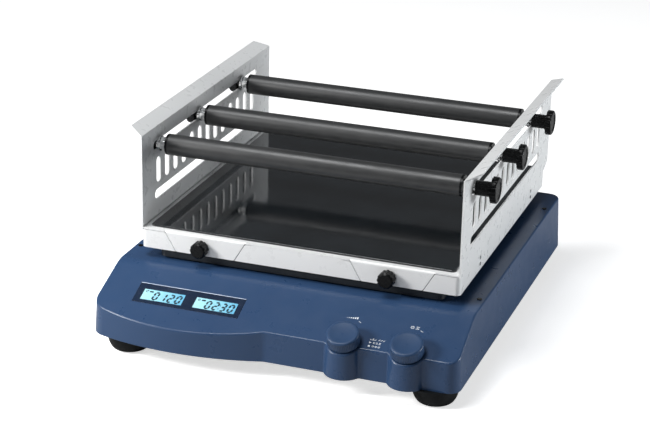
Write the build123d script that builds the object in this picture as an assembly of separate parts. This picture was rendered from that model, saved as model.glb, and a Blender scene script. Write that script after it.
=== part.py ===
"""Laboratory orbital shaker with a flask tray: base housing with display and two
control knobs, eccentric drive, sheet-metal tray with two slotted side panels and
three adjustable retaining bars.  Millimetres; +Z up, -Y front, +X right; origin on
the floor, in the middle of the machine."""
from build123d import *
import math
import os

os.makedirs("parts", exist_ok=True)

# ---------------------------------------------------------------- driving dimensions
T0 = -127.75            # y of the tray's front face
TRAY_D = 331.0          # tray depth
TRAY_HX = 165.0         # half width over the side panels
T1 = T0 + TRAY_D
PANEL_REAR = T0 + 344.0  # the upper part of each side panel runs further back
SHEET = 1.5             # sheet metal thickness
LIP_Z0 = 82.9           # bottom of the tray's lips
FLOOR_Z = 103.5         # top of the tray sheet
FOLD_Z = 198.4          # outward fold of the side panels
BASE_HX = 187.25        # half width of the base at its foot
BASE_FRONT = T0 - 73.5  # straight part of the front wall
BASE_REAR = T0 + 340.0
BASE_Z0 = 16.5          # underside of the base
DECK_Z = 72.1           # flat deck
BREAK_Y = T0 - 11.7     # where the deck turns into the sloped control panel
SLOPE = math.radians(22.94)
DRAFT = math.tan(math.radians(3.0))
WALL = 3.0              # housing wall
KNOB_X = (73.0, 135.6)  # speed, time
KNOB_S = 59.9           # distance of the knob axes down the sloped panel
BOSS_R = 19.0           # half-round bosses of the front wall below the knobs
BOSS_Y = T0 - 65.5
BAR_Z = 179.4           # axis height of the retaining bars
BAR_Y = (T0 + 40.7, T0 + 142.2, T0 + 259.3)
BAR_R = 10.7
ORBIT = 5.0             # eccentricity: orbit of 10 mm diameter
AX_Y = T0 + 160.5       # main drive axis (x = 0)
IDLE_X, IDLE_Y = 118.0, 112.0   # idler cranks around the main axis
TAB_X = 97.0            # middle of the tray's folded tabs
CLAMP_X, CLAMP_Z = {-1: -100.7, 1: 93.3}, 90.8   # tray clamp knobs, left and right
FEET_X, FEET_Y = (-152.5, 161.0), (T0 - 56.0, T0 + 283.0)
CHASSIS_Z = 24.0


# ---------------------------------------------------------------- helpers
def box(x0, x1, y0, y1, z0, z1):
    return Pos((x0 + x1) / 2, (y0 + y1) / 2, (z0 + z1) / 2) * Box(x1 - x0, y1 - y0, z1 - z0)


def cz(x, y, z0, z1, r):
    return Pos(x, y, (z0 + z1) / 2) * Cylinder(r, z1 - z0)


def cx(x0, x1, y, z, r):
    return Pos((x0 + x1) / 2, y, z) * Rot(0, 90, 0) * Cylinder(r, x1 - x0)


def cy(y0, y1, x, z, r):
    return Pos(x, (y0 + y1) / 2, z) * Rot(90, 0, 0) * Cylinder(r, y1 - y0)


def group(*items):
    flat = []
    for it in items:
        flat.extend(it if isinstance(it, (list, tuple)) else [it])
    return Compound(children=[s for it in flat for s in it.solids()])


def save(shape, name):
    export_step(shape, "parts/" + name + ".step")


def slot_yz(x0, x1, y0, y1, z0, z1):
    """Slot with round ends through a wall normal to X; runs along its longer side."""
    w, h = y1 - y0, z1 - z0
    r = min(w, h) / 2
    if w >= h:
        s = box(x0, x1, y0 + r, y1 - r, z0, z1)
        return s + cx(x0, x1, y0 + r, z0 + r, r) + cx(x0, x1, y1 - r, z0 + r, r)
    s = box(x0, x1, y0, y1, z0 + r, z1 - r)
    return s + cx(x0, x1, y0 + r, z0 + r, r) + cx(x0, x1, y0 + r, z1 - r, r)


# plane of the sloped control panel: x to the right, local y up the slope
PANEL = Plane(origin=(0, BREAK_Y, DECK_Z), x_dir=(1, 0, 0),
              z_dir=(0, -math.sin(SLOPE), math.cos(SLOPE)))


def on_panel(shape, x=0.0, s=0.0, h=0.0):
    """Place a shape on the sloped panel: x, distance s down the slope, height h."""
    return PANEL * Pos(x, -s, h) * shape


# ---------------------------------------------------------------- base housing
BOW_X, BOW_PEAK, BOW_RAD = -95.4, T0 - 88.5, 277.0   # bowed part below the display


def plan(inset, z):
    """Outline of the base at height z, drawn in by inset: bowed on the left under
    the display, straight on the right with two half-round bosses."""
    hx, yr, fy, r = BASE_HX - inset, BASE_REAR - inset, BASE_FRONT + inset, BOSS_R - inset
    rb = BOW_RAD - inset
    yc = BOW_PEAK + BOW_RAD
    yl = yc - math.sqrt(rb * rb - (-hx - BOW_X) ** 2)
    xr = BOW_X + math.sqrt(rb * rb - (fy - yc) ** 2)
    with BuildSketch() as s:
        with BuildLine():
            Line((hx, yr), (-hx, yr))
            Line((-hx, yr), (-hx, yl))
            ThreePointArc((-hx, yl), (BOW_X, yc - rb), (xr, fy))
            Line((xr, fy), (hx, fy))
            Line((hx, fy), (hx, yr))
        make_face()
        fillet([v for v in s.vertices() if abs(v.Y - yr) < 1e-3], 16 - inset)
        fillet([v for v in s.vertices() if abs(v.Y - fy) < 1e-3 and v.X > 150], 13 - inset)
        fillet([v for v in s.vertices() if abs(v.Y - yl) < 1e-3 and v.X < -150], 20 - inset)
        fillet([v for v in s.vertices() if abs(v.Y - fy) < 1e-3 and abs(v.X - xr) < 1e-3], 14 + inset)
        with Locations(*[(x, BOSS_Y) for x in KNOB_X]):
            Circle(r)
    with BuildSketch(Plane.XY.offset(z)) as s2:
        add(s.sketch)
        fillet([v for v in s2.vertices() if abs(v.Y - fy) < 1e-3 and 50 < v.X < 160],
               2.5 + inset * 0.4)
    return s2.sketch.face()


def block(inset, z0, z1):
    """Drafted block of the base outline."""
    return loft([plan(inset + (z0 - BASE_Z0) * DRAFT, z0),
                 plan(inset + (z1 - BASE_Z0) * DRAFT, z1)], ruled=True)


def under_top(drop, rad, z0):
    """Everything below the deck and the sloped panel, both lowered by drop."""
    zd = DECK_Z - drop
    yb = BREAK_Y + drop * math.tan(SLOPE / 2)
    y1 = T0 - 120.0
    z1 = zd - (yb - y1) * math.tan(SLOPE)
    with BuildSketch(Plane.YZ) as s:
        Polygon((BASE_REAR + 20, z0), (BASE_REAR + 20, zd), (yb, zd), (y1, z1), (y1, z0),
                align=None)
        if rad:
            fillet([v for v in s.vertices()
                    if (abs(v.X - yb) < 1e-3 and abs(v.Y - zd) < 1e-3)
                    or (abs(v.Y - yb) < 1e-3 and abs(v.Z - zd) < 1e-3)], rad)
    return extrude(s.sketch, 210, both=True)


PIVOTS = [(-IDLE_X, AX_Y - IDLE_Y), (IDLE_X, AX_Y - IDLE_Y),
          (-IDLE_X, AX_Y + IDLE_Y), (IDLE_X, AX_Y + IDLE_Y)]
POSTS = [(-172, -150), (173, -150), (-174, 30), (174, 30), (-15, 188), (60, 188),
         (-168, 185), (168, 185), (-30, -192), (104, -190)]
PLUGS = [(sx * 178.0, T0 + y) for sx in (-1, 1) for y in (25.2, 286.8)]
WIN_X0, WIN_X1, WIN_S0, WIN_S1 = -148.5, -37.0, 28.0, 54.0
LCD = [(-119.9, 42.2), (-64.7, 42.2)]
LCD_W, LCD_H = 43.6, 14.4
INLET_X, INLET_Z = -110.0, 42.0
SWITCH_X = -60.0

outer = (block(0.0, BASE_Z0, 76.0) & under_top(0.0, 30.0, 0.0)).solids()[0]
# rounded bead all round the top
rim = [e for f in outer.faces() if f.normal_at().Z > 0.85 for e in f.edges()]
rim = [e for e in rim if sum(1 for k in rim if k.is_same(e)) == 1]
outer = outer.fillet(1.8, rim)
inner = block(WALL, BASE_Z0 - 1, 76.0) & under_top(WALL, 27.0, 0.0)
housing = outer - inner
posts = None
for x, y in POSTS:
    p = cz(x, y, BASE_Z0 + 1.5, 75.0, 5.0)
    posts = p if posts is None else posts + p
# keep the posts inside the shell, ending in its roof
housing += posts & (block(1.0, BASE_Z0 + 1.5, 76.0) & under_top(1.0, 29.0, BASE_Z0 + 1.5))
for x, y in POSTS:
    housing -= cz(x, y, BASE_Z0, 32.5, 1.65)
# drive openings in the deck
housing -= cz(0, AX_Y, 60, 80, 17.0)
for x, y in PIVOTS:
    housing -= cz(x, y, 60, 80, 13.0)
for x, y in PLUGS:
    housing -= cz(x, y, DECK_Z - 1.6, DECK_Z + 5, 2.6)
# display recess and window behind it
wx, ws = (WIN_X0 + WIN_X1) / 2, (WIN_S0 + WIN_S1) / 2
ww, wh = WIN_X1 - WIN_X0, WIN_S1 - WIN_S0
housing -= on_panel(Box(ww, wh, 1.4), wx, ws, -0.7 + 0.0) + on_panel(Box(ww, wh, 6), wx, ws, 3.0)
for x, s in LCD:
    housing -= on_panel(Box(LCD_W + 0.6, LCD_H + 0.6, 12), x, s, -2.0)
for x in KNOB_X:
    housing -= on_panel(Cylinder(4.6, 20), x, KNOB_S, 0.0)
# rear openings
housing -= box(INLET_X - 14.6, INLET_X + 14.6, BASE_REAR - 8, BASE_REAR + 5, INLET_Z - 10.6, INLET_Z + 19.6)
housing -= box(SWITCH_X - 9.6, SWITCH_X + 9.6, BASE_REAR - 8, BASE_REAR + 5, INLET_Z - 5.6, INLET_Z + 19.6)
housing = housing.solids().sort_by(SortBy.VOLUME)[-1]
save(housing, "base_housing")

# ---------------------------------------------------------------- bottom and feet
pan = extrude(plan(WALL + 0.3, BASE_Z0), 1.5)
vents = [box(-60 + 14 * i, -55 + 14 * i, 150, 175, 10, 22) for i in range(9)]
for v in vents:
    pan -= v
for x, y in POSTS:
    pan -= cz(x, y, 10, 20, 2.1)
FEET = [(x, y) for x in FEET_X for y in FEET_Y]
for x, y in FEET:
    pan -= cz(x, y, 10, 20, 2.1)
save(pan, "bottom_pan")

with BuildSketch(Plane.XZ) as fs:
    with BuildLine():
        Polyline((4.6, 5.0), (7.0, 5.0), (7.0, 0.0), (15.0, 0.0))
        Spline((15.0, 0.0), (18.8, 2.4), (23.2, 16.5), tangents=[(1, 0.05), (0.16, 1)])
        Polyline((23.2, 16.5), (2.1, 16.5), (2.1, 5.0), (4.6, 5.0))
    make_face()
foot = revolve(fs.sketch, Axis.Z)
save(group([Pos(x, y, 0) * foot for x, y in FEET]), "rubber_feet")


def pan_screw(x, y):
    s = cz(x, y, 14.4, 16.5, 3.4) - cz(x, y, 14.0, 15.6, 1.4)
    return s + cz(x, y, 16.0, 31.0, 1.6)


def foot_screw(x, y):
    s = cz(x, y, 2.6, 5.0, 3.6) - cz(x, y, 2.0, 3.8, 1.5)
    return s + cz(x, y, 4.8, 23.0, 1.9)


screws = [pan_screw(x, y) for x, y in POSTS] + [foot_screw(x, y) for x, y in FEET]
save(group(screws), "base_screws")

# ---------------------------------------------------------------- chassis and drive
chassis = box(-148, 148, AX_Y - 138, AX_Y + 140, CHASSIS_Z, CHASSIS_Z + 4)
chassis = fillet(chassis.edges().filter_by(Axis.Z), 12)
STAND = [(-138, AX_Y - 90), (138, AX_Y - 90), (-138, AX_Y + 60), (138, AX_Y + 60),
         (0, AX_Y - 128), (-40, AX_Y + 120)]
for x, y in STAND:
    chassis -= cz(x, y, 20, 30, 2.1)
chassis -= cz(0, AX_Y, 20, 30, 12.0)
save(chassis, "chassis_plate")
standoffs = []
for x, y in STAND:
    h = Pos(x, y, 0) * extrude(Plane.XY.offset(18.0) * RegularPolygon(5.0, 6), 6.0)
    h += cz(x, y, 23.9, 28.0, 2.0) + cz(x, y, 28.0, 30.4, 3.6) - cz(x, y, 29.2, 31, 1.5)
    standoffs.append(h)
save(group(standoffs), "chassis_standoffs")

Z1 = CHASSIS_Z + 4      # top of the chassis plate
mb = cz(0, AX_Y, Z1, Z1 + 3, 36) + cz(0, AX_Y, Z1, 47, 21)
mb -= cz(0, AX_Y, 20, 60, 16.0)
mb += cz(0, AX_Y, 36.5, 38.5, 16.0) - cz(0, AX_Y, 30, 50, 12.5)
for a in range(4):
    x, y = 29 * math.cos(math.radians(45 + 90 * a)), AX_Y + 29 * math.sin(math.radians(45 + 90 * a))
    mb += cz(x, y, Z1 + 3, Z1 + 6, 3.6) - cz(x, y, Z1 + 4.6, Z1 + 7, 1.5)
save(mb, "main_bearing_housing")

blocks, ibear = [], []
for x, y in PIVOTS:
    b = box(x - 15, x + 15, y - 15, y + 15, Z1, Z1 + 22)
    b = fillet(b.edges().filter_by(Axis.Z), 4)
    b -= cz(x, y, Z1 + 4, 60, 11.0)
    blocks.append(b)
    ibear.append(cz(x, y, 34, 41, 11.0) - cz(x, y, 30, 50, 4.05))
    ibear.append(cz(x, y, 42.5, 49.5, 11.0) - cz(x, y, 40, 52, 4.05))
save(group(blocks), "idler_bearing_blocks")


def ring(x, y, z0, z1, ro, ri):
    r = cz(x, y, z0, z1, ro) - cz(x, y, z0 - 1, z1 + 1, ri)
    g = ro - (ro - ri) * 0.28
    k = ri + (ro - ri) * 0.28
    cut = cz(x, y, z1 - 0.4, z1 + 1, g) - cz(x, y, z1 - 0.4, z1 + 1, k)
    return r - cut


lower = [ring(0, AX_Y, 28.2, 36.5, 16.0, 7.55), ring(0, AX_Y, 38.5, 46.8, 16.0, 7.55)]
for x, y in PIVOTS:
    lower.append(ring(x, y, 34, 41, 11.0, 4.05))
    lower.append(ring(x, y, 42.5, 49.5, 11.0, 4.05))
save(group(lower), "lower_bearings")

MOT_X = -104.0
motor = cz(MOT_X, AX_Y, Z1, 46.5, 32)
motor = chamfer(motor.edges().group_by(Axis.Z)[-1], 1.5)
motor -= cz(MOT_X, AX_Y, Z1 + 2, 60, 4.05)
for a in range(3):
    t = math.radians(90 + 120 * a)
    x, y = MOT_X + 24 * math.cos(t), AX_Y + 24 * math.sin(t)
    motor -= cz(x, y, 45.3, 48, 3.2)
save(motor, "motor_body")
save(cz(MOT_X, AX_Y, Z1 + 2.4, 60.5, 4.0), "motor_shaft")
mp = cz(MOT_X, AX_Y, 48.5, 59.5, 15.0) + cz(MOT_X, AX_Y, 48.5, 49.7, 17.5) + cz(MOT_X, AX_Y, 58.3, 59.5, 17.5)
mp -= cz(MOT_X, AX_Y, 48, 61, 4.0)
save(mp, "motor_pulley")

# main crank: shaft with eccentric pin, pulley, counterweight
PIN_Y = AX_Y + ORBIT
crank = cz(0, AX_Y, 26.5, 61.0, 7.5) + cz(0, AX_Y, 60.5, 70.0, 15.5)
crank += cz(0, PIN_Y, 69.0, 95.0, 7.5)
save(crank, "main_crank")
dp = cz(0, AX_Y, 49.0, 60.3, 46.0) + cz(0, AX_Y, 48.2, 49.4, 48.0) + cz(0, AX_Y, 59.1, 60.3, 48.0)
dp -= cz(0, AX_Y, 40, 70, 7.5)
for a in range(6):
    t = math.radians(60 * a + 30)
    dp -= cz(28 * math.cos(t), AX_Y + 28 * math.sin(t), 40, 70, 9)
save(dp, "driven_pulley")
cw = cz(0, AX_Y, 60.8, 68.0, 58) & box(-60, 60, AX_Y - 70, AX_Y - 6, 60.8, 68.0)
cw += cz(0, AX_Y, 60.8, 68.0, 22)
cw -= cz(0, AX_Y, 55, 75, 15.5)
for x in (-24, 24):
    cw -= cz(x, AX_Y - 34, 66.0, 70, 4.2)
save(cw, "counterweight")


# toothless flat belt round the two pulleys, standing just clear of them
def loop(r1, r2, z0, z1):
    d = -MOT_X
    a = math.asin((r1 - r2) / d)
    sx, cc = math.sin(a), math.cos(a)
    with BuildSketch(Plane.XY.offset(z0)) as s:
        Polygon((-r1 * sx, r1 * cc), (-d - r2 * sx, r2 * cc), (-d - r2 * sx, -r2 * cc),
                (-r1 * sx, -r1 * cc), align=None)
        Circle(r1)
        with Locations((-d, 0)):
            Circle(r2)
    return Pos(0, AX_Y, 0) * extrude(s.sketch, z1 - z0)


belt = loop(47.5, 16.5, 50.3, 57.8) - loop(46.3, 15.3, 49.0, 59.5)
save(belt, "drive_belt")

# idler cranks
for k, (x, y) in enumerate(PIVOTS, 1):
    c = cz(x, y, 32.6, 51.5, 4.0) + cz(x, y, 50.6, 66.0, 11.5) + cz(x, y + ORBIT, 65.0, 88.0, 4.0)
    save(c, "idler_crank_%d" % k)

# ---------------------------------------------------------------- electronics
psu = box(66, 146, AX_Y - 72, AX_Y + 8, Z1, 56)
for i in range(8):
    psu -= box(74 + 9 * i, 79 + 9 * i, AX_Y - 62, AX_Y - 2, 55, 57)
save(psu, "power_supply")
mainb = box(64, 146, AX_Y + 18, AX_Y + 78, Z1 + 5, Z1 + 6.6)
for x, y in ((70, AX_Y + 24), (140, AX_Y + 24), (70, AX_Y + 72), (140, AX_Y + 72)):
    mainb += cz(x, y, Z1, Z1 + 5.2, 2.5)
mainb += box(74, 92, AX_Y + 30, AX_Y + 48, Z1 + 6.4, Z1 + 9) + cz(112, AX_Y + 40, Z1 + 6.4, Z1 + 20, 6)
mainb += cz(128, AX_Y + 40, Z1 + 6.4, Z1 + 20, 6) + box(76, 130, AX_Y + 62, AX_Y + 70, Z1 + 6.4, Z1 + 15)
disp = on_panel(Box(ww - 4, wh - 4, 1.6), wx, ws, -7.2)
for sx in (-1, 1):
    disp += on_panel(Cylinder(1.6, 3.5), wx + sx * 52, ws, -4.8)
save(group(mainb, disp), "circuit_boards")

window = on_panel(Box(ww - 0.2, wh - 0.2, 1.4), wx, ws, -0.55)
window = fillet(window.edges().filter_by(lambda e: abs(e.length - 1.4) < 1e-3), 1.5)
lcds = []
for x, s in LCD:
    window -= on_panel(Box(LCD_W, LCD_H, 6), x, s, 0.0)
    lcds.append(on_panel(Box(LCD_W - 0.2, LCD_H - 0.2, 3.2), x, s, -1.9))
    lcds[-1] += on_panel(Box(LCD_W - 4, LCD_H - 4, 3.2), x, s, -4.9 + 0.1)
save(window, "display_window")
save(group(lcds), "lcd_modules")

# encoders behind the panel, sprung plungers and the knobs
encoders = []
for i, x in enumerate(KNOB_X):
    e = on_panel(Box(14, 14, 9.5), x, KNOB_S, -3.0 - 4.75)
    e -= on_panel(Cylinder(4.3, 8.6), x, KNOB_S, -3.0 - 4.0)
    encoders.append(e)
    tag = ("speed", "time")[i]
    pl = on_panel(Cylinder(4.0, 8.6), x, KNOB_S, -5.1) - on_panel(Cylinder(3.06, 20), x, KNOB_S, 0)
    save(pl, tag + "_plunger")
    kn = Cylinder(15.9, 11.0)
    kn = fillet(kn.edges().group_by(Axis.Z)[-1], 2.2)
    kn -= Pos(0, 0, 5.5 + 112.0 - 0.7) * Sphere(112.0)   # slightly dished top
    for a in range(60):
        t = 2 * math.pi * a / 60
        kn -= Pos(16.25 * math.cos(t), 16.25 * math.sin(t), -1.0) * Cylinder(0.55, 9.0)
    kn += Pos(0, 0, -5.5 - 4.5) * Cylinder(3.0, 9.4)
    kn = on_panel(kn, x, KNOB_S, 1.3 + 5.5)
    save(kn, tag + "_knob")
save(group(encoders), "encoder_bodies")

# ---------------------------------------------------------------- rear sockets
RY = BASE_REAR
inlet = box(INLET_X - 17, INLET_X + 17, RY, RY + 2.6, INLET_Z - 13, INLET_Z + 22)
inlet = fillet(inlet.edges().filter_by(Axis.Y), 2)
inlet += box(INLET_X - 14.3, INLET_X + 14.3, RY - 24, RY + 0.5, INLET_Z - 10.3, INLET_Z + 19.3)
cav = box(INLET_X - 12.2, INLET_X + 12.2, RY - 16, RY + 4, INLET_Z + 1.0, INLET_Z + 17.5)
cav = chamfer(cav.edges().filter_by(Axis.Y).group_by(Axis.Z)[-1], 4)
inlet -= cav
for px, pz in ((-7.0, 7.2), (7.0, 7.2), (0.0, 11.4)):
    inlet += box(INLET_X + px - 1, INLET_X + px + 1, RY - 16.4, RY - 1.5, INLET_Z + pz - 2, INLET_Z + pz + 2)
inlet -= box(INLET_X - 11.0, INLET_X + 11.0, RY - 21, RY + 4, INLET_Z - 8.5, INLET_Z - 1.0)
save(inlet, "power_inlet")
drawer = box(INLET_X - 10.6, INLET_X + 10.6, RY - 20, RY + 2.8, INLET_Z - 8.1, INLET_Z - 1.4)
drawer -= box(INLET_X - 8.5, INLET_X + 8.5, RY - 18.5, RY - 1.5, INLET_Z - 6.6, INLET_Z)
drawer -= box(INLET_X - 3, INLET_X + 3, RY + 1.6, RY + 4, INLET_Z - 3.2, INLET_Z)
save(drawer, "fuse_drawer")

sw = box(SWITCH_X - 12, SWITCH_X + 12, RY, RY + 1.6, INLET_Z - 8, INLET_Z + 22)
sw = fillet(sw.edges().filter_by(Axis.Y), 1.5)
sw += box(SWITCH_X - 9.3, SWITCH_X + 9.3, RY - 17, RY + 0.5, INLET_Z - 5.3, INLET_Z + 19.3)
sw -= box(SWITCH_X - 6.6, SWITCH_X + 6.6, RY - 14, RY + 3, INLET_Z - 3.2, INLET_Z + 17.2)
for sx in (-1, 1):
    sw += cx(SWITCH_X + (5.2 if sx > 0 else -7.0), SWITCH_X + (7.0 if sx > 0 else -5.2), RY - 3.5, INLET_Z + 7.0, 1.0)
save(sw, "switch_frame")
PZ = INLET_Z + 7.0
rk = cx(SWITCH_X - 6.2, SWITCH_X + 6.2, RY - 3.5, PZ, 9.6)
rk &= box(SWITCH_X - 7, SWITCH_X + 7, RY - 7.5, RY + 6, PZ - 10, PZ + 10)
with BuildSketch(Plane.YZ) as rs:
    Polygon((RY - 8, PZ - 10), (RY + 2.6, PZ - 10), (RY + 0.9, PZ), (RY + 2.6, PZ + 10), (RY - 8, PZ + 10),
            align=None)
rk &= Pos(SWITCH_X, 0, 0) * extrude(rs.sketch, 8, both=True)
rk -= cx(SWITCH_X - 8, SWITCH_X + 8, RY - 3.5, PZ, 1.06)
# resting on its lower (off) stop
rk = Pos(0, RY - 3.5, PZ) * Rot(-8, 0, 0) * Pos(0, -(RY - 3.5), -PZ) * rk
save(rk, "power_rocker")

plugs = []
for x, y in PLUGS:
    p = cz(x, y, DECK_Z - 1.6, DECK_Z + 0.1, 2.55)
    plugs.append(p + Pos(x, y, DECK_Z + 0.1) * (Sphere(2.55) & Pos(0, 0, 1.0) * Box(8, 8, 2.0) & Pos(0, 0, -0.6) * Box(8, 8, 2.4)))
save(group(plugs), "deck_plugs")

# ---------------------------------------------------------------- platform
CX = 147.5
car = box(-CX, CX, T0 + 4, T1 - 4, 74.3, FLOOR_Z - SHEET)
car = fillet(car.edges().filter_by(Axis.Z), 6)
car -= fillet(box(-CX + 6, CX - 6, T0 + 10, T1 - 10, 70, 96).edges().filter_by(Axis.Z), 5)
PINS = [(0, PIN_Y, 16.0, 22.0, 82.0)] + [(x, y + ORBIT, 11.0, 16.0, 80.0) for x, y in PIVOTS]
for x, y, rb, ro, zb in PINS:
    car += cz(x, y, zb - 3.0, 97, ro)
for x in (-70.0, 0.0, 70.0):
    car += box(x - 2, x + 2, T0 + 6, T1 - 6, 88, 97)
for y in (AX_Y - 60, AX_Y + 70):
    car += box(-CX + 3, CX - 3, y - 2, y + 2, 88, 97)
for x, y, rb, ro, zb in PINS:
    car -= cz(x, y, 60, zb + 10.0, rb)
    car -= cz(x, y, 60, 97.0, rb - 4.0)
for sx in (-1, 1):
    car += box(CLAMP_X[sx] - 9, CLAMP_X[sx] + 9, T0 + 6, T0 + 22, 84, 97)
    car -= cy(T0, T0 + 20, CLAMP_X[sx], CLAMP_Z, 3.05)
car = car.solids().sort_by(SortBy.VOLUME)[-1]
save(car, "carriage_plate")
up = [ring(0, PIN_Y, 80.0, 92.0, 16.0, 7.55)]
for x, y in PIVOTS:
    up.append(ring(x, y + ORBIT, 80.0, 90.0, 11.0, 4.05))
save(group(up), "platform_bearings")


def tab(xc, y0, y1):
    """Trapezoid tab hanging from the tray sheet."""
    with BuildSketch(Plane.XZ) as s:
        Polygon((xc - 43, FLOOR_Z), (xc + 43, FLOOR_Z), (xc + 31, LIP_Z0), (xc - 31, LIP_Z0), align=None)
        fillet([v for v in s.vertices() if abs(v.Z - LIP_Z0) < 1e-3 or abs(v.Y - LIP_Z0) < 1e-3], 3)
    e = extrude(s.sketch, 400, both=True)
    return e & box(-200, 200, y0, y1, 60, 120)


tray = box(-TRAY_HX + SHEET, TRAY_HX - SHEET, T0, T1, FLOOR_Z - SHEET, FLOOR_Z)
for sx in (-1, 1):
    x0, x1 = sorted((sx * (TRAY_HX - SHEET), sx * (TRAY_HX - 2 * SHEET)))
    tray += box(x0, x1, T0 + 8, T1 - 8, LIP_Z0 + 1.0, FLOOR_Z - SHEET / 2)
for sx in (-1, 1):
    tray += tab(sx * TAB_X, T0, T0 + SHEET) + tab(sx * TAB_X, T1 - SHEET, T1)
# rounded fold where the tabs leave the sheet
RF = 2.4
for sx in (-1, 1):
    for ye, d in ((T0, 1), (T1, -1)):
        x0, x1 = sx * TAB_X - 43.5, sx * TAB_X + 43.5
        c = box(x0, x1, *sorted((ye - d, ye + RF * d)), FLOOR_Z - RF, FLOOR_Z + 1)
        tray -= c - cx(x0 - 1, x1 + 1, ye + RF * d, FLOOR_Z - RF, RF)
for sx in (-1, 1):
    tray -= cy(T0 - 2, T0 + 3, CLAMP_X[sx], CLAMP_Z, 3.6)
PSCR = [(sx, T0 + y) for sx in (-1, 1) for y in (70.8, 271.4)]
for sx, y in PSCR:
    for dz in (-3.4, 3.4):
        tray -= cx(*sorted((sx * 160, sx * 170)), y, LIP_Z0 + 10 + dz, 1.25)
save(tray, "tray_pan")

# aprons between the tabs, front and rear
GAP = 0.7


def apron(y0, y1, yf0, yf1):
    top = FLOOR_Z - SHEET - 0.6
    t = (FLOOR_Z - LIP_Z0)
    wb = 54 + 12 - GAP
    with BuildSketch(Plane.XZ) as s:
        Polygon((-wb, LIP_Z0), (wb, LIP_Z0), (54 - GAP + (FLOOR_Z - top) * 12 / t, top),
                (-(54 - GAP + (FLOOR_Z - top) * 12 / t), top), align=None)
        fillet([v for v in s.vertices() if abs(v.Z - top) < 1e-3 or abs(v.Y - top) < 1e-3], 3)
    e = extrude(s.sketch, 400, both=True) & box(-200, 200, y0, y1, 60, 120)
    # inward flange under the tray sheet
    e += box(-46, 46, yf0, yf1, FLOOR_Z - SHEET - 1.5, FLOOR_Z - SHEET)
    return e


save(group(apron(T0, T0 + SHEET, T0 + 0.3, T0 + 4.0),
           apron(T1 - SHEET, T1, T1 - 4.0, T1 - 0.3)), "tray_aprons")

# side panels
V_SLOTS = [T0 + 38.7 + 21.0 * k for k in range(13)]


def side_panel():
    """Right-hand panel: wall, outward flange with mitred ends, wrapped lower corners."""
    xo, xi = TRAY_HX, TRAY_HX - SHEET
    with BuildSketch(Plane.YZ) as s:
        Polygon((T0 + 5, LIP_Z0), (T0 + 5, 101.0), (T0, 101.0), (T0, FOLD_Z), (PANEL_REAR, FOLD_Z), (PANEL_REAR, 107.0),
                (T1, 101.0), (T1 - 5, 101.0), (T1 - 5, LIP_Z0), align=None)
    w = Pos(xi, 0, 0) * extrude(s.sketch, SHEET)
    # wrapped corners: quarter bends and the end sections of the front and rear lips
    top = FLOOR_Z - SHEET - 0.6
    t = FLOOR_Z - LIP_Z0
    for front in (True, False):
        ye = T0 if front else T1
        d = 1 if front else -1
        bend = cz(xo - 5, ye + 5 * d, LIP_Z0, top, 5.0) - cz(xo - 5, ye + 5 * d, 60, 120, 3.5)
        bend &= box(xo - 5, xo, *sorted((ye, ye + 5 * d)), 60, 120)
        x0t = 140 + GAP - (FLOOR_Z - top) * 12 / t
        x0b = 128 + GAP
        with BuildSketch(Plane.XZ) as q:
            Polygon((x0b, LIP_Z0), (xo - 5, LIP_Z0), (xo - 5, top), (x0t, top), align=None)
            fillet([v for v in q.vertices() if abs(v.X - x0t) < 1e-3], 3)
        leg = extrude(q.sketch, 400, both=True) & box(0, 200, *sorted((ye, ye + SHEET * d)), 60, 120)
        w += bend
        w += leg
        w += box(xi, xo, *sorted((ye + 4.9 * d, ye + 5.1 * d)), LIP_Z0, 101.0)
    # outward flange
    fx, fz = 14.5, 6.5
    ln = math.hypot(fx, fz)
    with BuildSketch(Plane.XZ) as f:
        Polygon((xi, FOLD_Z - 0.3), (xo, FOLD_Z - 0.3), (xo + fx, FOLD_Z - 0.3 + fz),
                (xo + fx - SHEET * fz / ln, FOLD_Z - 0.3 + fz + SHEET * fx / ln), (xi, FOLD_Z + 0.7), align=None)
    fl = extrude(f.sketch, 400, both=True)
    with BuildSketch(Plane.XY) as m:
        Polygon((xi - 1, T0), (xo, T0), (xo + fx + 0.5, T0 + 9.5), (xo + fx + 0.5, PANEL_REAR - 11), (xo, PANEL_REAR),
                (xi - 1, PANEL_REAR), align=None)
    fl &= extrude(m.sketch, 300)
    w += fl
    # slots
    w -= slot_yz(xi - 3, xo + 3, T0 + 27, T0 + 304, BAR_Z - 4.5, BAR_Z + 4.5)
    w -= slot_yz(xi - 3, xo + 3, T0 + 30, T0 + 299, 122.4, 131.9)
    for y in V_SLOTS:
        w -= slot_yz(xi - 3, xo + 3, y - 5, y + 5, 138.9, 165.9)
    for sx, y in PSCR:
        if sx > 0:
            for dz in (-3.4, 3.4):
                w -= cx(xi - 2, xo + 2, y, LIP_Z0 + 10 + dz, 1.25)
    return w


right = side_panel().solids().sort_by(SortBy.VOLUME)[-1]
save(right, "side_panel_right")
save(mirror(right, Plane.YZ), "side_panel_left")
pscr = []
for sx, y in PSCR:
    for dz in (-3.4, 3.4):
        a, b = sorted((sx * 161.0, sx * 165.0))
        c, d = sorted((sx * 165.0, sx * 165.5))
        pscr.append(cx(a, b, y, LIP_Z0 + 10 + dz, 1.25) + cx(c, d, y, LIP_Z0 + 10 + dz, 1.9))
save(group(pscr), "panel_screws")

mat = box(-TRAY_HX + 7.0, TRAY_HX - 7.0, T0 + 6.5, T1 - 6.5, FLOOR_Z, FLOOR_Z + 2.0)
mat = fillet(mat.edges().filter_by(Axis.Z), 4)
mat = fillet(mat.edges().group_by(Axis.Z)[-1], 0.8)
save(mat, "nonslip_mat")

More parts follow.
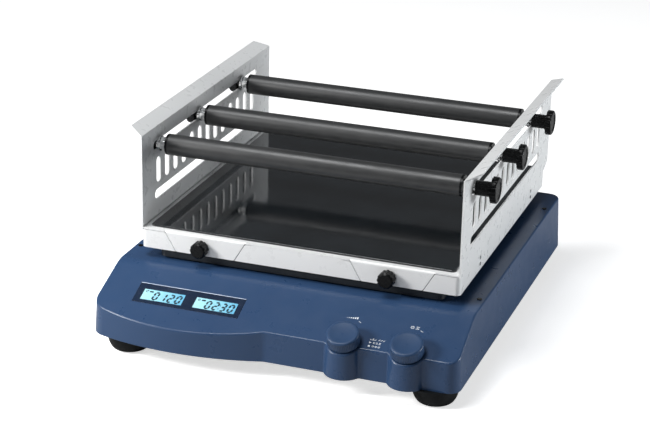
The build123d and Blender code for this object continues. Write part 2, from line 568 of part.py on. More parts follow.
# ---------------------------------------------------------------- retaining bars
for name, y in zip(("front", "middle", "rear"), BAR_Y):
    sl = cx(-151, 151, y, BAR_Z, BAR_R) - cx(-152, 152, y, BAR_Z, 4.0)
    save(sl, "bar_%s_sleeve" % name)
    rod = cx(-172.0, 179.3, y, BAR_Z, 4.0)
    nuts = []
    for sx in (-1, 1):
        n = Pos(sx * 157.2, y, BAR_Z) * Rot(0, 90, 0) * extrude(RegularPolygon(7.2, 6), 3.6, both=True)
        n &= Pos(sx * 157.2, y, BAR_Z) * Rot(0, 90, 0) * (Cylinder(6.9, 7.2))
        n += cx(*sorted((sx * 160.7, sx * 163.1)), y, BAR_Z, 7.6)
        n -= cx(-200, 200, y, BAR_Z, 4.0)
        nuts.append(n)
    save(group(rod, nuts), "bar_%s_rod" % name)
    caps = [cx(*sorted((sx * 151.0, sx * 153.5)), y, BAR_Z, BAR_R) - cx(-200, 200, y, BAR_Z, 4.0)
            for sx in (-1, 1)]
    save(group(caps), "bar_%s_caps" % name)
    for side, sx in (("left", -1), ("right", 1)):
        if sx > 0:
            # mushroom knob on a ribbed collar
            k = Pos(0, 0, 7.8) * Cylinder(7.3, 15.6)
            for a in range(16):
                t = 2 * math.pi * a / 16
                k -= Pos(7.6 * math.cos(t), 7.6 * math.sin(t), 9.5) * Cylinder(0.75, 13.0)
            hd = Pos(0, 0, 15.6 + 3.1) * Cylinder(12.9, 6.2)
            hd = fillet(hd.edges().group_by(Axis.Z)[-1], 1.8)
            for a in range(12):
                t = 2 * math.pi * a / 12
                hd -= Pos(14.0 * math.cos(t), 14.0 * math.sin(t), 18) * Cylinder(2.1, 12)
            # raised rim round a dished face
            hd -= Pos(0, 0, 22.0) * Cylinder(8.6, 1.4)
            k = k + hd - Pos(0, 0, 7.0) * Cylinder(4.06, 15.0)
        else:
            # low capped nut, hidden behind the panel from the front
            k = Pos(0, 0, 4.6) * Cylinder(10.5, 9.2)
            k = fillet(k.edges().group_by(Axis.Z)[-1], 1.6)
            for a in range(12):
                t = 2 * math.pi * a / 12
                k -= Pos(11.4 * math.cos(t), 11.4 * math.sin(t), 6.6) * Cylinder(1.7, 9.2)
            k -= Pos(0, 0, 3.0) * Cylinder(4.06, 8.0)
        k = Pos(sx * 165.4, y, BAR_Z) * Rot(0, 90 * sx, 0) * k
        save(k, "bar_knob_%s_%s" % (name, side))

# tray clamp knobs at the front
for side, sx in (("left", -1), ("right", 1)):
    k = Pos(0, 0, 5.6) * Cylinder(8.3, 10.6)
    k = chamfer(k.edges().group_by(Axis.Z)[-1], 1.7)
    for a in range(12):
        t = 2 * math.pi * (a + 0.5) / 12
        k -= Pos(9.0 * math.cos(t), 9.0 * math.sin(t), 5.0) * Cylinder(1.45, 30)
    k += Pos(0, 0, -8.0) * Cylinder(3.0, 17.0)
    save(Pos(CLAMP_X[sx], T0 - 0.1, CLAMP_Z) * Rot(90, 0, 0) * k, "tray_knob_%s" % side)

print("bounds", housing.bounding_box(), right.bounding_box())
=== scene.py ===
import math

import bmesh
import bpy
from mathutils import Matrix, Vector


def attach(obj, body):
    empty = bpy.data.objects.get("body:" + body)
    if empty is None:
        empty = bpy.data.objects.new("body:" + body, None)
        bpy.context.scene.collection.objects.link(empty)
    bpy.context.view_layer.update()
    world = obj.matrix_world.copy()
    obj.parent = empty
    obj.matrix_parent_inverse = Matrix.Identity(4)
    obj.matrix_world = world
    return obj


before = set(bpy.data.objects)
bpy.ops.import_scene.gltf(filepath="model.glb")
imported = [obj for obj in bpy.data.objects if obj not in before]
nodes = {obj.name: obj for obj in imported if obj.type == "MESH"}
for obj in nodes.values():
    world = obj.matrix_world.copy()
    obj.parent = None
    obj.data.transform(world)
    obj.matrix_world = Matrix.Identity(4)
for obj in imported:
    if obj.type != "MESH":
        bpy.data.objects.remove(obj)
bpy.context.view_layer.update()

# ------------------------------------------------------------------ frame of the sloping panel
MM = 0.001
SLOPE = math.radians(22.94)
BREAK_Y, DECK_Z = -139.45, 72.1
P_ORG = Vector((0, BREAK_Y, DECK_Z))
P_DOWN = Vector((0, -math.cos(SLOPE), -math.sin(SLOPE)))
P_N = Vector((0, -math.sin(SLOPE), math.cos(SLOPE)))


def panel(x, s, h):
    """Point on the panel: x to the right, s down the slope from its top line, h above it, in mm."""
    return (P_ORG + Vector((x, 0, 0)) + P_DOWN * s + P_N * h) * MM


# ------------------------------------------------------------------ material building
class Mat:
    """A Principled material with helpers for its procedural inputs."""

    def __init__(self, name):
        self.m = bpy.data.materials.new(name)
        self.m.use_nodes = True
        self.nt = self.m.node_tree
        self.nt.nodes.clear()
        self.out = self.new("ShaderNodeOutputMaterial")
        self.b = self.new("ShaderNodeBsdfPrincipled")
        self.nt.links.new(self.b.outputs["BSDF"], self.out.inputs["Surface"])
        self.tc = self.new("ShaderNodeTexCoord")
        self.last_normal = None

    def new(self, kind):
        return self.nt.nodes.new(kind)

    def link(self, a, b):
        self.nt.links.new(a, b)

    def set(self, **kw):
        for k, v in kw.items():
            self.b.inputs[k.replace("_", " ")].default_value = v
        return self

    def coords(self, scale=(1, 1, 1), rot=(0, 0, 0)):
        mp = self.new("ShaderNodeMapping")
        mp.inputs["Scale"].default_value = scale
        mp.inputs["Rotation"].default_value = rot
        self.link(self.tc.outputs["Object"], mp.inputs["Vector"])
        return mp.outputs["Vector"]

    def noise(self, scale, detail=3.0, rough=0.55, stretch=(1, 1, 1), distort=0.0):
        n = self.new("ShaderNodeTexNoise")
        n.inputs["Scale"].default_value = scale
        n.inputs["Detail"].default_value = detail
        n.inputs["Roughness"].default_value = rough
        n.inputs["Distortion"].default_value = distort
        self.link(self.coords(stretch), n.inputs["Vector"])
        return n.outputs["Fac"]

    def cells(self, scale, stretch=(1, 1, 1), feature="F1", randomness=1.0):
        n = self.new("ShaderNodeTexVoronoi")
        n.feature = feature
        n.inputs["Scale"].default_value = scale
        n.inputs["Randomness"].default_value = randomness
        self.link(self.coords(stretch), n.inputs["Vector"])
        return n.outputs["Distance"]

    def remap(self, fac, lo, hi, a=0.35, b=0.65):
        r = self.new("ShaderNodeMapRange")
        r.inputs["From Min"].default_value = a
        r.inputs["From Max"].default_value = b
        r.inputs["To Min"].default_value = lo
        r.inputs["To Max"].default_value = hi
        self.link(fac, r.inputs["Value"])
        return r.outputs["Result"]

    def ramp(self, fac, stops):
        r = self.new("ShaderNodeValToRGB")
        el = r.color_ramp.elements
        while len(el) < len(stops):
            el.new(0.5)
        for e, (p, c) in zip(el, stops):
            e.position = p
            e.color = c
        self.link(fac, r.inputs["Fac"])
        return r.outputs["Color"]

    def colour(self, sock):
        self.link(sock, self.b.inputs["Base Color"])
        return self

    def rough(self, sock):
        self.link(sock, self.b.inputs["Roughness"])
        return self

    def bevel(self, radius, samples=4):
        n = self.new("ShaderNodeBevel")
        n.samples = samples
        n.inputs["Radius"].default_value = radius
        self.last_normal = n.outputs["Normal"]
        self.link(self.last_normal, self.b.inputs["Normal"])
        self.bev = n.outputs["Normal"]
        return self

    def bump(self, fac, strength, distance):
        n = self.new("ShaderNodeBump")
        n.inputs["Strength"].default_value = strength
        n.inputs["Distance"].default_value = distance
        self.link(fac, n.inputs["Height"])
        if self.last_normal is not None:
            self.link(self.last_normal, n.inputs["Normal"])
        self.last_normal = n.outputs["Normal"]
        self.link(self.last_normal, self.b.inputs["Normal"])
        return self

    def edge(self, base, highlight_colour, amount=0.5, lo=0.0, hi=0.35):
        """Paints a highlight on convex edges: a lighter colour where the rounded normal leaves the flat one, broken up
        by noise.
        """
        geo = self.new("ShaderNodeNewGeometry")
        dot = self.new("ShaderNodeVectorMath")
        dot.operation = "DOT_PRODUCT"
        self.link(self.bev, dot.inputs[0])
        self.link(geo.outputs["Normal"], dot.inputs[1])
        inv = self.new("ShaderNodeMath")
        inv.operation = "SUBTRACT"
        inv.inputs[0].default_value = 1.0
        self.link(dot.outputs["Value"], inv.inputs[1])
        mr = self.new("ShaderNodeMapRange")
        mr.inputs["From Min"].default_value = lo
        mr.inputs["From Max"].default_value = hi
        mr.inputs["To Max"].default_value = amount
        self.link(inv.outputs["Value"], mr.inputs["Value"])
        brk = self.new("ShaderNodeMath")
        brk.operation = "MULTIPLY"
        self.link(mr.outputs["Result"], brk.inputs[0])
        self.link(self.remap(self.noise(90, 4), 0.45, 1.0), brk.inputs[1])
        mx = self.new("ShaderNodeMix")
        mx.data_type = "RGBA"
        self.link(brk.outputs["Value"], mx.inputs["Factor"])
        self.link(base, mx.inputs["A"])
        mx.inputs["B"].default_value = highlight_colour
        return mx.outputs["Result"]


def plastic(name, c0, c1, r0, r1, spot=14, grain=1400, bump=0.12, dist=0.00006, radius=0.0004,
            edge=None, amount=0.5, **kw):
    m = Mat(name)
    m.bevel(radius)
    base = m.ramp(m.noise(spot, 4), [(0.3, c0), (0.7, c1)])
    # painted highlight along the convex edges
    if edge:
        base = m.edge(base, edge, amount)
    m.colour(base)
    m.rough(m.remap(m.noise(spot * 6, 5), r0, r1))
    m.bump(m.noise(grain, 2, 0.5), bump, dist)
    m.set(**kw)
    return m


def make_materials():
    M = {}
    # moulded body: satin slate blue with a fine eroded texture and a faint painted highlight along its edges
    c0, c1 = (0.022, 0.053, 0.124, 1), (0.026, 0.060, 0.136, 1)
    m = plastic("housing_plastic", c0, c1, 0.27, 0.33, 9, 1700, 0.10, 0.00005, 0.0006,
                edge=(0.16, 0.24, 0.40, 1), amount=0.8, IOR=1.46, Specular_IOR_Level=0.42)
    M["housing"] = m
    # knobs: the same blue, with a painted highlight along their edges
    m = plastic("knob_plastic", (0.022, 0.053, 0.122, 1), (0.026, 0.060, 0.134, 1), 0.34, 0.42, 60, 2600,
                0.14, 0.00006, 0.0004, edge=(0.20, 0.27, 0.40, 1), amount=0.75, IOR=1.47, Specular_IOR_Level=0.35)
    M["knob_blue"] = m
    # rubber feet, with a faint painted highlight along their edges
    m = plastic("feet_rubber", (0.004, 0.005, 0.0055, 1), (0.008, 0.009, 0.010, 1), 0.5, 0.65, 40, 900,
                0.25, 0.00012, 0.0006, edge=(0.03, 0.03, 0.032, 1), amount=0.2, Specular_IOR_Level=0.15)
    M["feet_rubber"] = m
    # black moulded knobs, plugs, sockets, with a faint painted highlight along their edges
    m = plastic("black_plastic", (0.0030, 0.0035, 0.004, 1), (0.0055, 0.006, 0.0065, 1), 0.22, 0.32, 55, 2200,
                0.12, 0.00004, 0.0004, edge=(0.04, 0.042, 0.046, 1), amount=0.3, Specular_IOR_Level=0.15)
    M["black_plastic"] = m
    # powder-coated white sheet with orange peel
    m = Mat("white_powder_coat")
    base = m.ramp(m.noise(7, 3), [(0.3, (0.760, 0.770, 0.772, 1)), (0.7, (0.800, 0.806, 0.806, 1))])
    m.colour(base)
    m.rough(m.remap(m.noise(120, 4), 0.26, 0.36))
    m.bump(m.noise(420, 1, 0.4), 0.05, 0.00005)
    m.set(Coat_Weight=0.25, Coat_Roughness=0.2, IOR=1.48)
    M["white_sheet"] = m
    # glossy black mat, a little wavy
    m = Mat("glossy_mat")
    m.bevel(0.0006)
    m.colour(m.ramp(m.noise(24, 5, distort=0.6), [(0.3, (0.006, 0.0075, 0.009, 1)), (0.75, (0.012, 0.015, 0.018, 1))]))
    m.rough(m.remap(m.noise(70, 5), 0.05, 0.10))
    m.bump(m.noise(22, 3, 0.5, distort=0.8), 0.12, 0.0006)
    m.bump(m.noise(500, 2), 0.08, 0.00006)
    m.set(Coat_Weight=0.4, Coat_Roughness=0.06)
    M["mat"] = m
    # foam-rubber sleeves with fine open cells
    m = Mat("sleeve_foam")
    m.bevel(0.0005)
    m.colour(m.ramp(m.noise(260, 4, stretch=(0.25, 1, 1)), [(0.32, (0.022, 0.023, 0.024, 1)), (0.7, (0.034, 0.035, 0.036, 1))]))
    m.rough(m.remap(m.noise(60, 4, stretch=(0.3, 1, 1)), 0.34, 0.44))
    m.bump(m.cells(1500), 0.18, 0.00008)
    m.set(Sheen_Weight=0.06, Sheen_Roughness=0.4)
    M["sleeve"] = m
    # bright steel rods, nuts and washers
    m = Mat("bright_steel")
    m.bevel(0.0003)
    m.colour(m.ramp(m.noise(180, 4), [(0.3, (0.62, 0.63, 0.64, 1)), (0.7, (0.74, 0.75, 0.75, 1))]))
    m.rough(m.remap(m.noise(900, 3, stretch=(0.06, 1, 1)), 0.16, 0.28))
    m.bump(m.noise(1600, 2, stretch=(0.04, 1, 1)), 0.12, 0.00003)
    m.set(Metallic=1.0)
    M["rod_steel"] = m
    # zinc-plated plates and screws
    for slot, ca, cb, ra, rb, sc in (
        ("steel_zinc", (0.50, 0.51, 0.50, 1), (0.62, 0.62, 0.60, 1), 0.30, 0.46, 45),
        ("screws", (0.42, 0.43, 0.44, 1), (0.58, 0.59, 0.60, 1), 0.24, 0.36, 300),
        ("alu", (0.58, 0.59, 0.60, 1), (0.68, 0.69, 0.70, 1), 0.30, 0.42, 60),
        ("bearing", (0.55, 0.56, 0.57, 1), (0.66, 0.67, 0.68, 1), 0.18, 0.30, 200),
    ):
        m = Mat(slot + "_metal")
        m.bevel(0.0003)
        m.colour(m.ramp(m.cells(sc) if slot == "steel_zinc" else m.noise(sc, 4), [(0.2, ca), (0.8, cb)]))
        m.rough(m.remap(m.noise(sc * 4, 4), ra, rb))
        m.bump(m.noise(1200, 2, stretch=(1, 0.2, 1)), 0.08, 0.00004)
        m.set(Metallic=1.0)
        M[slot] = m
    # motor: grey enamel can
    M["motor"] = plastic("motor_enamel", (0.05, 0.052, 0.056, 1), (0.075, 0.078, 0.082, 1), 0.35, 0.5, 40, 900,
                         0.12, 0.00008, 0.0006, Metallic=0.2)
    # belt: ribbed black neoprene
    m = Mat("belt_rubber")
    m.colour(m.ramp(m.noise(200, 4), [(0.3, (0.010, 0.010, 0.010, 1)), (0.7, (0.020, 0.020, 0.020, 1))]))
    m.rough(m.remap(m.noise(150, 3), 0.5, 0.7))
    m.bump(m.noise(2400, 2, stretch=(1, 1, 0.05)), 0.3, 0.0001)
    M["belt"] = m
    # power supply: perforated sheet can
    m = Mat("psu_can")
    m.bevel(0.0004)
    m.colour(m.ramp(m.noise(60, 4), [(0.3, (0.45, 0.46, 0.46, 1)), (0.7, (0.56, 0.57, 0.57, 1))]))
    m.rough(m.remap(m.noise(200, 3), 0.32, 0.45))
    m.bump(m.cells(260, randomness=0.0), 0.2, 0.0002)
    m.set(Metallic=0.9)
    M["psu"] = m
    # circuit boards: green solder mask with tracks
    m = Mat("board_mask")
    trk = m.cells(160, stretch=(1, 1, 0.2), feature="DISTANCE_TO_EDGE", randomness=0.6)
    m.colour(m.ramp(trk, [(0.02, (0.05, 0.16, 0.06, 1)), (0.09, (0.010, 0.062, 0.024, 1))]))
    m.rough(m.remap(m.noise(220, 3), 0.28, 0.4))
    m.bump(trk, 0.2, 0.0001)
    m.set(Coat_Weight=0.3)
    M["pcb"] = m
    # display window: deep navy glossy acrylic
    m = Mat("window_acrylic")
    m.bevel(0.0004)
    m.colour(m.ramp(m.noise(18, 3), [(0.3, (0.0075, 0.0165, 0.040, 1)), (0.7, (0.010, 0.021, 0.048, 1))]))
    m.rough(m.remap(m.noise(240, 4), 0.16, 0.26))
    m.bump(m.noise(160, 2), 0.03, 0.00005)
    m.set(Coat_Weight=0.35, Coat_Roughness=0.12)
    M["window"] = m
    # display glass: pale cyan, unevenly lit from behind
    m = Mat("lcd_glass")
    sep = m.new("ShaderNodeSeparateXYZ")
    m.link(m.coords((1, 1, 1)), sep.inputs["Vector"])
    saw = m.new("ShaderNodeMath")
    saw.operation = "MODULO"
    sh = m.new("ShaderNodeMath")
    sh.operation = "ADD"
    sh.inputs[1].default_value = 0.1416 + 0.0552 * 2
    m.link(sep.outputs["X"], sh.inputs[0])
    m.link(sh.outputs["Value"], saw.inputs[0])
    saw.inputs[1].default_value = 0.0552
    across = m.remap(saw.outputs["Value"], 0.0, 1.0, 0.0, 0.0436)
    glow = m.ramp(across, [(0.0, (0.40, 0.72, 0.80, 1)), (0.5, (0.26, 0.58, 0.72, 1)), (1.0, (0.13, 0.42, 0.62, 1))])
    mot = m.ramp(m.noise(500, 3), [(0.35, (0.94, 0.96, 0.97, 1)), (0.65, (1, 1, 1, 1))])
    mx = m.new("ShaderNodeMix")
    mx.data_type = "RGBA"
    mx.blend_type = "MULTIPLY"
    mx.inputs["Factor"].default_value = 1.0
    m.link(glow, mx.inputs["A"])
    m.link(mot, mx.inputs["B"])
    m.colour(mx.outputs["Result"])
    m.link(mx.outputs["Result"], m.b.inputs["Emission Color"])
    m.set(Emission_Strength=0.16, Coat_Weight=0.5, Coat_Roughness=0.08)
    m.rough(m.remap(m.noise(800, 3), 0.22, 0.3))
    M["lcd"] = m
    # dark anodised carriage plate, with a painted highlight along its edges
    m = Mat("carriage_anodised")
    m.bevel(0.0006)
    base = m.ramp(m.noise(30, 5), [(0.3, (0.014, 0.017, 0.021, 1)), (0.7, (0.022, 0.026, 0.031, 1))])
    m.colour(m.edge(base, (0.16, 0.18, 0.20, 1), 0.7))
    m.rough(m.remap(m.noise(160, 4), 0.34, 0.48))
    m.bump(m.noise(900, 2, stretch=(0.2, 1, 1)), 0.12, 0.00006)
    m.set(Metallic=0.35)
    M["carriage"] = m
    # white screen print
    m = Mat("white_print")
    m.colour(m.ramp(m.noise(1800, 3), [(0.3, (0.70, 0.74, 0.80, 1)), (0.7, (0.86, 0.89, 0.92, 1))]))
    m.rough(m.remap(m.noise(900, 2), 0.4, 0.55))
    m.bump(m.noise(2500, 2), 0.2, 0.00003)
    M["_print"] = m
    # lit display segments
    m = Mat("display_segment")
    m.colour(m.ramp(m.noise(900, 3), [(0.3, (0.002, 0.008, 0.016, 1)), (0.7, (0.004, 0.012, 0.022, 1))]))
    m.rough(m.remap(m.noise(700, 2), 0.25, 0.4))
    M["_segment"] = m
    m = Mat("display_segment_off")
    m.colour(m.ramp(m.noise(900, 3), [(0.3, (0.24, 0.52, 0.64, 1)), (0.7, (0.27, 0.56, 0.68, 1))]))
    m.rough(m.remap(m.noise(700, 2), 0.25, 0.4))
    m.b.inputs["Emission Color"].default_value = (0.2, 0.5, 0.62, 1)
    m.set(Emission_Strength=0.08)
    M["_ghost"] = m
    # painted highlight: pale colour for a strip along the window's top edge
    m = Mat("window_bevel")
    m.colour(m.ramp(m.noise(60, 3), [(0.3, (0.55, 0.62, 0.76, 1)), (0.7, (0.70, 0.76, 0.86, 1))]))
    m.rough(m.remap(m.noise(400, 2), 0.2, 0.3))
    m.bump(m.noise(1500, 2), 0.1, 0.00003)
    M["_window_highlight"] = m
    # studio floor: pale, with only a faint shadow
    m = Mat("studio_floor")
    m.colour(m.ramp(m.noise(1.3, 3), [(0.3, (0.88, 0.88, 0.88, 1)), (0.7, (0.91, 0.91, 0.91, 1))]))
    m.rough(m.remap(m.noise(30, 2), 0.7, 0.8))
    m.set(Specular_IOR_Level=0.1, Emission_Color=(1, 1, 1, 1), Emission_Strength=0.6)
    dim = m.new("ShaderNodeBsdfDiffuse")
    dim.inputs["Color"].default_value = (0.6, 0.6, 0.6, 1)
    lp = m.new("ShaderNodeLightPath")
    mx = m.new("ShaderNodeMixShader")
    m.link(lp.outputs["Is Camera Ray"], mx.inputs["Fac"])
    m.link(dim.outputs["BSDF"], mx.inputs[1])
    m.link(m.b.outputs["BSDF"], mx.inputs[2])
    m.link(mx.outputs["Shader"], m.out.inputs["Surface"])
    M["_floor"] = m
    return M


M = make_materials()
for o in nodes.values():
    for k, s in enumerate(o.material_slots):
        name = s.material.name.split(".")[0]
        s.material = M[name].m


# ------------------------------------------------------------------ detail pieces
def mesh_object(name, bm, mat):
    me = bpy.data.meshes.new(name)
    bmesh.ops.recalc_face_normals(bm, faces=bm.faces)
    bm.to_mesh(me)
    bm.free()
    ob = bpy.data.objects.new(name, me)
    bpy.context.scene.collection.objects.link(ob)
    me.materials.append(M[mat].m)
    return ob


def add_poly(bm, pts, place, h0, h1):
    """A flat polygon given in two coordinates, made solid between heights h0 and h1."""
    lo = [bm.verts.new(place(u, v, h0)) for u, v in pts]
    hi = [bm.verts.new(place(u, v, h1)) for u, v in pts]
    n = len(pts)
    bm.faces.new(hi)
    bm.faces.new(lo[::-1])
    for i in range(n):
        j = (i + 1) % n
        bm.faces.new((lo[i], lo[j], hi[j], hi[i]))


def add_stroke(bm, pts, width, place, h0, h1, closed=False):
    """A thick line through pts, mitred at its bends."""
    n = len(pts)
    off = []
    for i in range(n):
        a = Vector(pts[i - 1]) if (i > 0 or closed) else None
        c = Vector(pts[(i + 1) % n]) if (i < n - 1 or closed) else None
        p = Vector(pts[i])
        d1 = (p - a).normalized() if a is not None else (c - p).normalized()
        d2 = (c - p).normalized() if c is not None else d1
        t = (d1 + d2)
        t = t.normalized() if t.length > 1e-6 else d1
        nrm = Vector((-t.y, t.x))
        k = max(0.5, nrm.dot(Vector((-d1.y, d1.x))))
        off.append((p + nrm * width / 2 / k, p - nrm * width / 2 / k))
    L = [[bm.verts.new(place(q.x, q.y, h)) for q, _ in off] for h in (h0, h1)]
    R = [[bm.verts.new(place(q.x, q.y, h)) for _, q in off] for h in (h0, h1)]
    last = n if closed else n - 1
    for i in range(last):
        j = (i + 1) % n
        bm.faces.new((L[1][i], L[1][j], R[1][j], R[1][i]))
        bm.faces.new((L[0][j], L[0][i], R[0][i], R[0][j]))
        bm.faces.new((L[0][i], L[0][j], L[1][j], L[1][i]))
        bm.faces.new((R[0][j], R[0][i], R[1][i], R[1][j]))
    if not closed:
        for i in (0, n - 1):
            bm.faces.new((L[0][i], L[1][i], R[1][i], R[0][i]))


def arc(cx, cy, r, a0, a1, n=14):
    return [(cx + r * math.cos(math.radians(a0 + (a1 - a0) * i / n)),
             cy + r * math.sin(math.radians(a0 + (a1 - a0) * i / n))) for i in range(n + 1)]


def on_panel(x0, s0, turn=0.0):
    """Placer for drawings whose u runs right and v runs up the slope, turned about (x0, s0)."""
    c, s = math.cos(turn), math.sin(turn)

    def f(u, v, h):
        return panel(x0 + u * c - v * s, s0 - (u * s + v * c), h)

    return f


SEGS = {"0": "abcdef", "1": "bc", "2": "abged", "3": "abgcd", "4": "fgbc", "5": "afgcd", "6": "afgedc",
        "7": "abc", "8": "abcdefg", "9": "abcdfg"}
D_W, D_H, D_T, LEAN = 6.0, 11.4, 1.85, 0.16


def segment_polys(which, u0, v0):
    w, h, t = D_W, D_H, D_T
    g, b = 0.22, t / 2
    mid = h / 2

    def hbar(y, x0=0.0, x1=w):
        return [(x0 + g, y), (x0 + g + b, y + b), (x1 - g - b, y + b), (x1 - g, y), (x1 - g - b, y - b), (x0 + g + b, y - b)]

    def vbar(x, y0, y1):
        return [(x, y0 + g), (x + b, y0 + g + b), (x + b, y1 - g - b), (x, y1 - g), (x - b, y1 - g - b), (x - b, y0 + g + b)]

    table = {
        "a": hbar(h - b, b, w - b), "g": hbar(mid, b, w - b), "d": hbar(b, b, w - b),
        "f": vbar(b, mid, h - b), "b": vbar(w - b, mid, h - b), "e": vbar(b, b, mid), "c": vbar(w - b, b, mid),
    }
    return [[(u0 + x + LEAN * y, v0 + y) for x, y in table[k]] for k in which]


def display(cx, cs, digits, colon, tag, icon):
    place = on_panel(cx, cs)
    lit, off = bmesh.new(), bmesh.new()
    base = -21.7 + 10.7
    pitch = 7.9
    for i, d in enumerate(digits):
        u0 = base + i * pitch
        on = SEGS.get(d, "")
        for p in segment_polys(on, u0, -6.3):
            add_poly(lit, p, place, -0.32, -0.22)
        for p in segment_polys([k for k in "abcdefg" if k not in on], u0, -6.3):
            add_poly(off, p, place, -0.32, -0.27)
    if colon:
        u0 = base + 2 * pitch - 1.0
        for v in (-3.4, 1.0):
            sq = [(u0 + LEAN * (v + 6.3) + a, v + b) for a, b in ((-0.45, -0.45), (0.45, -0.45), (0.45, 0.45), (-0.45, 0.45))]
            add_poly(lit, sq, place, -0.32, -0.22)
    # small legend at the top left: a turning arrow or a clock beside a short bar
    u, v = -18.2, 4.3
    if icon == "turn":
        add_stroke(lit, arc(u, v, 1.15, 40, 320), 0.5, place, -0.32, -0.22)
        add_poly(lit, [(u + 0.3, v + 1.5), (u + 1.9, v + 1.4), (u + 1.0, v + 0.1)], place, -0.32, -0.22)
    else:
        add_stroke(lit, arc(u, v, 1.15, 0, 340), 0.45, place, -0.32, -0.22)
        add_stroke(lit, [(u, v + 0.8), (u, v), (u + 0.6, v)], 0.35, place, -0.32, -0.22)
    add_poly(lit, [(u + 2.7, v - 0.9), (u + 6.6, v - 0.9), (u + 6.9, v + 0.9), (u + 3.0, v + 0.9)], place, -0.32, -0.22)
    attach(mesh_object("display_%s_segments" % tag, lit, "_segment"), "base")
    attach(mesh_object("display_%s_unlit" % tag, off, "_ghost"), "base")


display(-119.9, 42.2, "0120", False, "left", "turn")
display(-64.7, 42.2, "0230", True, "right", "clock")

# painted highlight: a pale strip along the window's top edge
bm = bmesh.new()
flat = on_panel(0, 0)
add_stroke(bm, [(-148.0, -27.95), (-37.5, -27.95)], 0.62, flat, -0.1, 0.24)
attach(mesh_object("window_highlight_line", bm, "_window_highlight"), "base")

# printed pictograms around the two knobs
H0, H1 = -0.02, 0.05
bm = bmesh.new()
pl = on_panel(71.7, 28.3)
# rising row of bars: how fast it turns
for i in range(6):
    u = -6.1 + i * 2.05
    add_poly(bm, [(u, -1.3), (u + 1.25, -1.3), (u + 1.25, -0.9 + 0.46 * i), (u, -1.25 + 0.46 * i)], pl, H0, H1)
add_stroke(bm, [(7.0, -3.4), (9.6, -5.0)], 0.45, pl, H0, H1)
# clock and an hour-glass: how long it runs
pl = on_panel(134.3, 28.4)
add_stroke(bm, arc(-3.2, 0, 1.55, 0, 345, 20), 0.5, pl, H0, H1)
add_stroke(bm, [(-3.2, 1.0), (-3.2, 0), (-2.3, -0.3)], 0.4, pl, H0, H1)
add_stroke(bm, [(0.3, 1.5), (3.3, 1.5), (0.3, -1.5), (3.3, -1.5)], 0.45, pl, H0, H1, closed=True)
add_stroke(bm, [(5.2, -2.6), (8.2, -4.0)], 0.45, pl, H0, H1)
# press, run, stop
pl = on_panel(103.3, 55.6)
add_stroke(bm, [(-6.5, 4.6), (-6.5, 3.4), (-1.2, 3.4), (-1.2, 4.6)], 0.5, pl, H0, H1)
add_stroke(bm, [(-3.85, 5.6), (-3.85, 4.2)], 0.55, pl, H0, H1)
add_poly(bm, [(-4.8, 4.75), (-2.9, 4.75), (-3.85, 3.75)], pl, H0, H1)
for k in range(3):
    add_stroke(bm, [(1.2 + 2.4 * k, 3.5), (2.9 + 2.4 * k, 5.1)], 0.5, pl, H0, H1)
add_poly(bm, [(-6.6, -1.3), (-6.6, 1.3), (-4.4, 0.0)], pl, H0, H1)
for k in range(3):
    add_poly(bm, [(-2.9 + 2.9 * k, -1.1), (-1.1 + 2.9 * k, -1.1), (-1.1 + 2.9 * k, -0.45), (-2.9 + 2.9 * k, -0.45)], pl, H0, H1)
    add_poly(bm, [(-2.9 + 2.9 * k, 0.35), (-1.1 + 2.9 * k, 0.35), (-1.1 + 2.9 * k, 1.0), (-2.9 + 2.9 * k, 1.0)], pl, H0, H1)
add_poly(bm, [(-6.6, -5.5), (-4.5, -5.5), (-4.5, -3.4), (-6.6, -3.4)], pl, H0, H1)
for k in range(3):
    add_stroke(bm, arc(-1.7 + 2.9 * k, -4.45, 0.85, 0, 340, 10), 0.45, pl, H0, H1)
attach(mesh_object("panel_pictograms", bm, "_print"), "base")


def onto(node, origin, u_dir, v_dir, n_dir, lift):
    """Placer that drops a drawing onto a CAD node's own surface."""
    ob = nodes[node]
    o, u_, v_, n_ = (Vector(x) for x in (origin, u_dir, v_dir, n_dir))

    def f(u, v, h):
        p = (o + u_ * u + v_ * v) * MM
        start = p + n_ * 0.02
        hit, loc, _, _ = ob.ray_cast(start, -n_)
        q = loc if hit else p
        return q + n_ * (h + lift) * MM

    return f


# on and off marks on the mains rocker, at the back
bm = bmesh.new()
pl = onto("power_rocker", (-60, 215, 49),(-1, 0, 0), (0, 0, 1), (0, 1, 0), 0.0)
add_poly(bm, [(-0.45, 3.4), (0.45, 3.4), (0.45, 6.6), (-0.45, 6.6)], pl, -0.03, 0.06)
add_stroke(bm, arc(0, -5.0, 1.6, 0, 345, 20), 0.6, pl, -0.03, 0.06)
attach(mesh_object("rocker_marks", bm, "_print"), "power_rocker")

# ------------------------------------------------------------------ studio
bm = bmesh.new()
R = 4.5
grid = [[bm.verts.new((x * R / 6, y * R / 6, -0.0006)) for x in range(-6, 7)] for y in range(-6, 7)]
for j in range(12):
    for i in range(12):
        bm.faces.new((grid[j][i], grid[j][i + 1], grid[j + 1][i + 1], grid[j + 1][i]))
floor = mesh_object("studio_floor", bm, "_floor")


def area(name, at, look, size, size_y, watts, colour=(1, 1, 1)):
    d = bpy.data.lights.new(name, "AREA")
    d.shape = "RECTANGLE"
    d.size, d.size_y = size, size_y
    d.energy = watts
    d.color = colour
    o = bpy.data.objects.new(name, d)
    bpy.context.scene.collection.objects.link(o)
    o.location = at
    o.rotation_euler = (Vector(look) - Vector(at)).to_track_quat("-Z", "Y").to_euler()
    return o


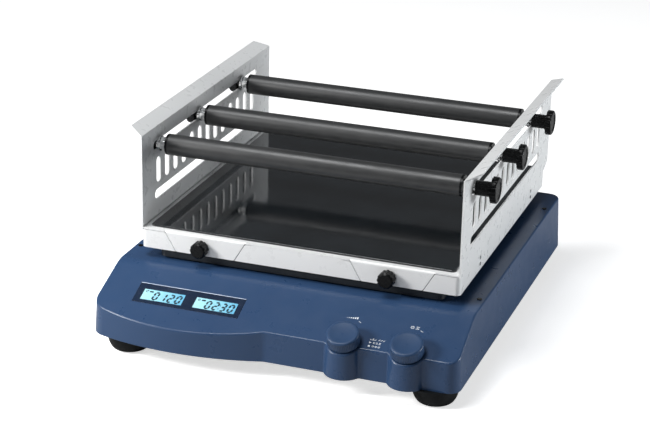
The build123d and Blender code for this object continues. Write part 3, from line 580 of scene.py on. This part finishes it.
area("key_left", (-0.80, -0.66, 0.58), (0, -0.02, 0.08), 0.30, 0.30, 11.5, (1.0, 0.99, 0.98))
area("top_soft", (-0.50, -0.62, 2.0), (0, 0, 0.05), 0.9, 0.8, 28, (0.98, 0.99, 1.0))
area("right_low", (1.6, 0.45, 0.20), (0.15, 0, 0.10), 0.7, 0.25, 18, (0.95, 0.98, 1.0))

world = bpy.data.worlds.new("studio_world")
bpy.context.scene.world = world
world.use_nodes = True
wt = world.node_tree
wt.nodes.clear()
wout = wt.nodes.new("ShaderNodeOutputWorld")
seen = wt.nodes.new("ShaderNodeBackground")
seen.inputs["Color"].default_value = (1, 1, 1, 1)
seen.inputs["Strength"].default_value = 1.0
amb = wt.nodes.new("ShaderNodeBackground")
amb.inputs["Color"].default_value = (0.93, 0.96, 1.0, 1)
amb.inputs["Strength"].default_value = 0.10
lp = wt.nodes.new("ShaderNodeLightPath")
mixw = wt.nodes.new("ShaderNodeMixShader")
wt.links.new(lp.outputs["Is Camera Ray"], mixw.inputs["Fac"])
wt.links.new(amb.outputs["Background"], mixw.inputs[1])
wt.links.new(seen.outputs["Background"], mixw.inputs[2])
wt.links.new(mixw.outputs["Shader"], wout.inputs["Surface"])

# ------------------------------------------------------------------ camera
R0 = Vector((0.9410478866, 0.3376468925, 0.0205779259))
R1 = Vector((0.1404879179, -0.3347637887, -0.9317705462))
R2 = Vector((-0.3077206850, 0.8797316533, -0.3624640647))
cam_data = bpy.data.cameras.new("camera")
cam_data.sensor_fit = "HORIZONTAL"
cam_data.sensor_width = 36.0
cam_data.lens = 1941.65 * 36.0 / 650.0
cam_data.clip_start = 0.05
cam_data.clip_end = 50.0
cam = bpy.data.objects.new("camera", cam_data)
bpy.context.scene.collection.objects.link(cam)
rot = Matrix((R0, -R1, -R2)).transposed().to_4x4()
cam.matrix_world = Matrix.Translation(Vector((0.600303, -1.763659, 0.817825))) @ rot
bpy.context.scene.camera = cam
bpy.context.scene.view_settings.view_transform = "Standard"
bpy.context.scene.view_settings.look = "None"
bpy.context.scene.view_settings.exposure = 0.0
